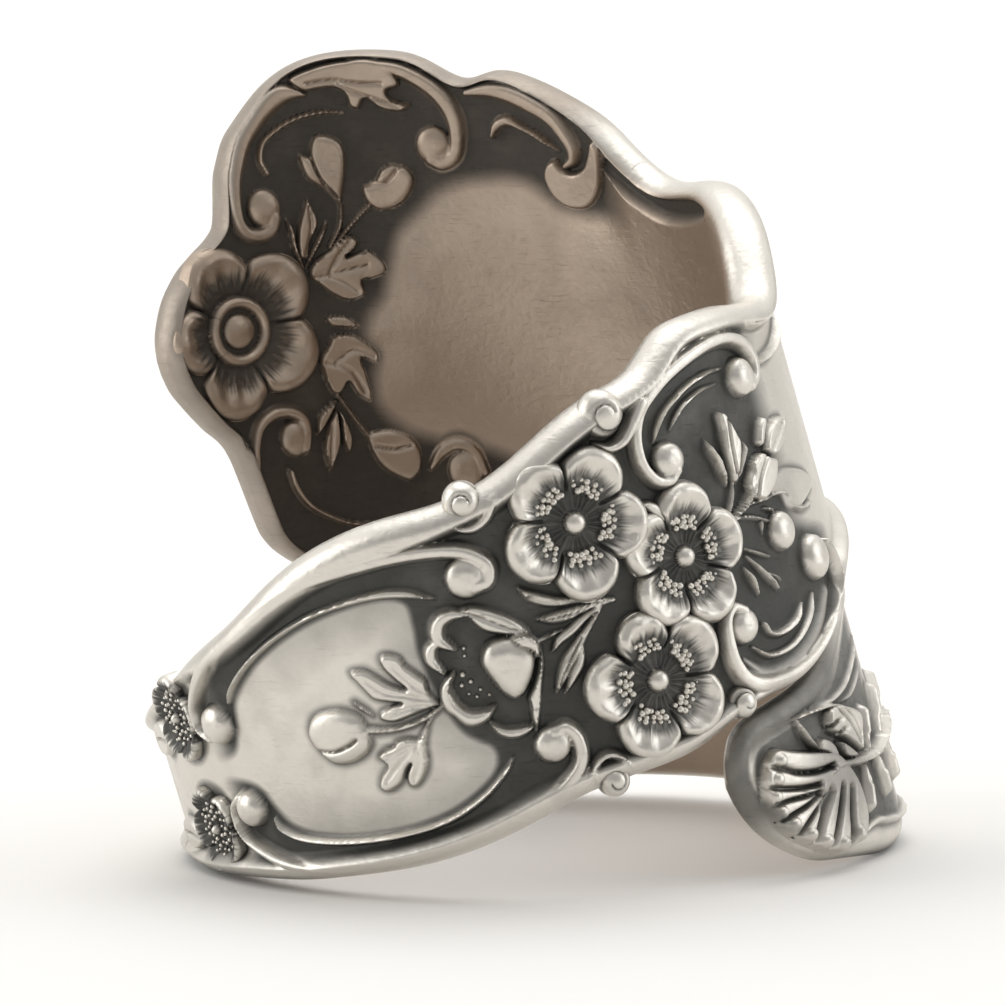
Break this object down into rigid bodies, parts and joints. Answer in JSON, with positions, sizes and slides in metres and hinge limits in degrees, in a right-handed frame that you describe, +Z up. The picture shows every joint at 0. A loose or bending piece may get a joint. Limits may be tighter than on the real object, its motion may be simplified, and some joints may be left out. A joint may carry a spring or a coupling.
{
  "type": "wrap ring",
  "caption": "Silver finger ring: one ornamented strip wound round a bore, with raised flowers, scrolls and leaves on sunk grounds.",
  "frame": {"origin": "middle of the bounding box, at its base, on the surface that the ring lies on", "axes": "+Z up as the ring lies by itself, -Y towards the camera, with the broad flowered front; the finger bore leans a little to -X"},
  "size_m": [0.0234, 0.0236, 0.0245],
  "materials": {
    "ring_band": "satin silver with a dark patina in the sunk grounds"
  },
  "bodies": {
    "root": {"ring_band": "ring_band"}
  },
  "joints": []
}
